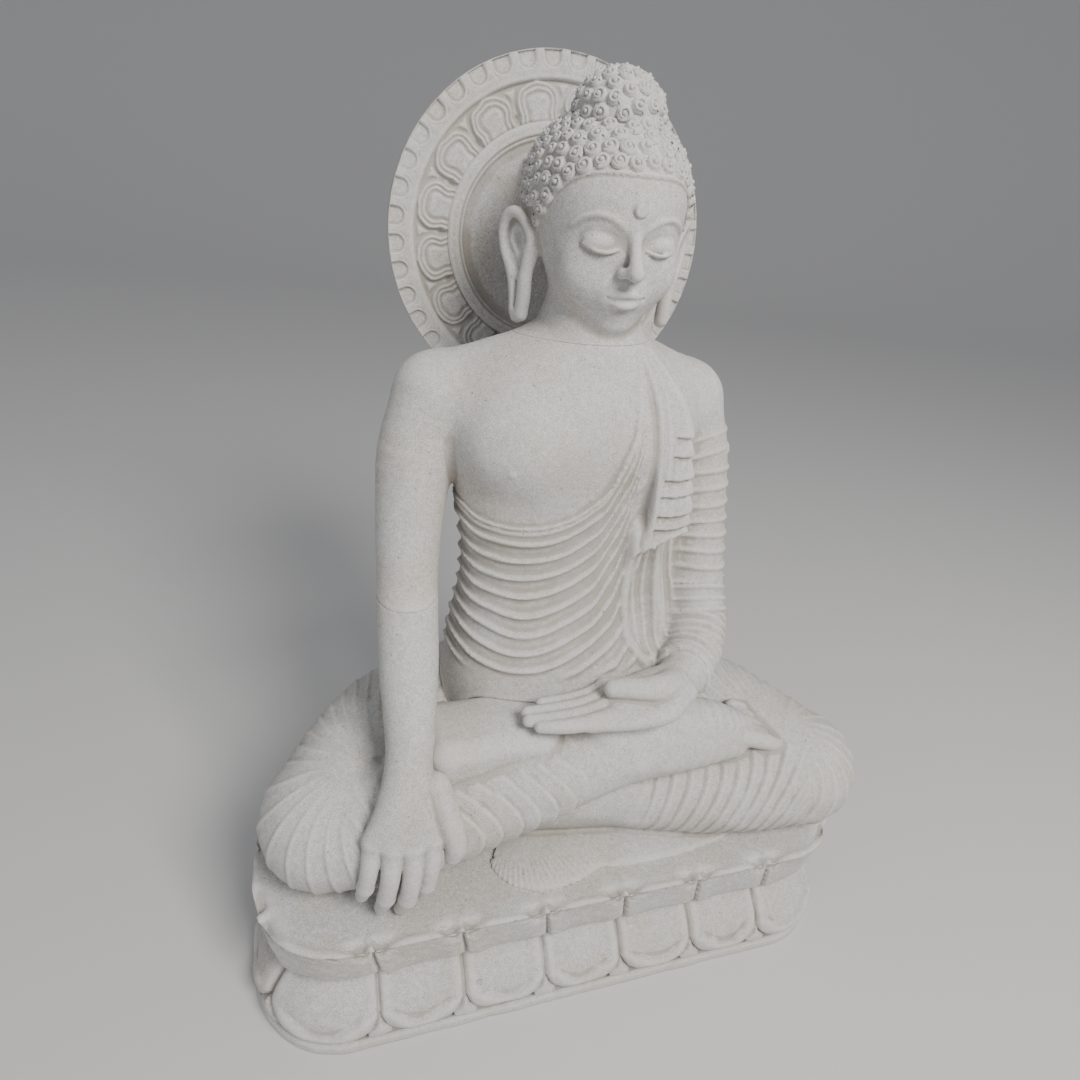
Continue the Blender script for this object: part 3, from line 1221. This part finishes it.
def steel_material():
    made = bpy.data.materials.new("dowel_steel")
    made.use_nodes = True
    tree = made.node_tree
    shader = tree.nodes["Principled BSDF"]
    place = add(tree, "TexCoord").outputs["Object"]
    fine = add(tree, "TexNoise", {"Vector": place, "Scale": 400.0, "Detail": 4.0}).outputs["Fac"]
    tree.links.new(blend(tree, fine, (0.42, 0.43, 0.45, 1), (0.6, 0.6, 0.61, 1)),
        shader.inputs["Base Color"])
    tree.links.new(ramp(tree, fine, 0.3, 0.7, 0.3, 0.5), shader.inputs["Roughness"])
    shader.inputs["Metallic"].default_value = 1.0
    bump = add(tree, "Bump", {"Height": fine, "Strength": 0.15, "Distance": 0.0003})
    tree.links.new(bump.outputs["Normal"], shader.inputs["Normal"])
    return made


stone = stone_material("carved_sandstone", (0.56, 0.555, 0.545), (0.53, 0.505, 0.468),
    (0.33, 0.30, 0.26), (0.69, 0.67, 0.64))
mortar = stone_material("lime_mortar", (0.50, 0.47, 0.42), (0.44, 0.42, 0.39), (0.36, 0.31, 0.26),
    (0.6, 0.57, 0.52), 420.0)
steel = steel_material()


def mark_hollows(made):
    """Stores how far each point lies in a hollow (above 0) or on a ridge (below 0).
    Plain faces, where points are far apart, get 0."""
    mesh = made.data
    n = len(mesh.vertices)
    here = read(mesh.vertices, "co", 3).astype(float)
    normal = read(mesh.vertices, "normal", 3)
    a, b = read(mesh.edges, "vertices", 2, np.int32).T
    count = np.maximum(np.bincount(a, minlength=n) + np.bincount(b, minlength=n), 1)
    soft = here.copy()
    total = np.zeros(n)
    for turn in range(1, 19):
        near = [np.bincount(a, soft[b, i], n) + np.bincount(b, soft[a, i], n) for i in range(3)]
        soft = np.stack([total_near / count for total_near in near], 1)
        if turn in (5, 18):
            depth = np.sum((soft - here) * normal, 1) * (1300.0 if turn == 5 else 620.0)
            total += np.sign(depth) * np.maximum(np.abs(depth) - 0.14, 0)
    reach = np.linalg.norm(here[a] - here[b], axis=1) * 1000.0
    reach = (np.bincount(a, reach, n) + np.bincount(b, reach, n)) / count
    total *= step(6.0, 4.2, reach)
    layer = mesh.attributes.new("hollow", "FLOAT", "POINT")
    layer.data.foreach_set("value", np.clip(total, -1.5, 1.5).astype(np.float32))


def thin(made):
    """Takes triangles away where the stone is nearly flat, until few enough are left."""
    count = sum(len(face.vertices) - 2 for face in made.data.polygons)
    if count > MOST_TRIANGLES:
        select_only(made)
        modifier = made.modifiers.new("thin", "DECIMATE")
        modifier.ratio = MOST_TRIANGLES / count
        bpy.ops.object.modifier_apply(modifier=modifier.name)
        made.data.shade_smooth()


PIECES = (
    (lap_block, ("lap_block",)),
    (upper_body, ("torso_block",)),
    (forearm_piece, ("right_forearm",)),
    (left_hand, ("left_hand",)),
    (head_piece, ("head_block",)),
    (hair, ()),
    (halo_piece, ("halo_disc",)),
    (lower_course, ("lotus_base",)),
    (upper_course, ("lotus_seat",)),
)
for piece, nodes in PIECES:
    mark_hollows(piece)
    thin(piece)
    piece.data.materials.append(stone)
    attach(piece, "root")
    if nodes:
        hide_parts(*nodes)
for name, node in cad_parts.items():
    finish = mortar if name.endswith("_bed") else steel if "dowel" in name or "_pin_" in name else stone
    node.data.materials.clear()
    node.data.materials.append(finish)

bpy.ops.object.select_all(action="DESELECT")
sweep = bmesh.new()
rows = []
cove = [(-14.0, 0.0), (7.0, 0.0)]
for t in np.radians(np.arange(6, 91, 6)):
    cove.append((7.0 + 6.0 * math.sin(t), 6.0 - 6.0 * math.cos(t)))
cove += [(13.0, 16.0)]
for away, height in cove:
    rows.append([
        sweep.verts.new(
            (0.9459 * side + 0.3307 * away, -0.3307 * side + 0.9459 * away, height - 0.0005)
        )
        for side in (-28.0, 28.0)
    ])
for low, high in zip(rows, rows[1:]):
    sweep.faces.new((low[0], low[1], high[1], high[0]))
cove_mesh = bpy.data.meshes.new("floor")
sweep.to_mesh(cove_mesh)
sweep.free()
cove_mesh.shade_smooth()
floor = bpy.data.objects.new("floor", cove_mesh)
bpy.context.collection.objects.link(floor)
m = bpy.data.materials.new("floor")
m.use_nodes = True
m.node_tree.nodes["Principled BSDF"].inputs["Base Color"].default_value = (0.62, 0.615, 0.605, 1)
floor.data.materials.append(m)

world = bpy.data.worlds.new("studio")
bpy.context.scene.world = world
world.use_nodes = True
world.node_tree.nodes["Background"].inputs["Color"].default_value = (0.93, 0.95, 1.0, 1)
world.node_tree.nodes["Background"].inputs["Strength"].default_value = 0.42


def area_light(name, place, aim, size, power, tint):
    data = bpy.data.lights.new(name, "AREA")
    data.shape = "RECTANGLE"
    data.size, data.size_y = size
    data.energy = power
    data.color = tint
    lamp = bpy.data.objects.new(name, data)
    bpy.context.collection.objects.link(lamp)
    lamp.location = place
    lamp.rotation_euler = (Vector(aim) - Vector(place)).to_track_quat("-Z", "Y").to_euler()


area_light("key", (0.75, -2.5, 2.95), (0, 0, 0.6), (1.3, 1.3), 148, (1.0, 0.965, 0.92))
area_light("fill", (-2.6, -1.6, 1.6), (0, 0, 0.5), (2.0, 2.0), 6, (0.93, 0.96, 1.0))

camera_data = bpy.data.cameras.new("camera")
camera_data.lens = 24.115
camera_data.sensor_width = 36
camera = bpy.data.objects.new("camera", camera_data)
bpy.context.collection.objects.link(camera)
right = Vector((0.9528, -0.2921, 0.0824))
up = Vector((0.0560, 0.4360, 0.8982))
forward = Vector((0.2983, 0.8512, -0.4318))
turn = Matrix((right, up, -forward)).transposed()
camera.matrix_world = Matrix.Translation((-0.333, -0.841, 1.038)) @ turn.to_4x4()
bpy.context.scene.camera = camera
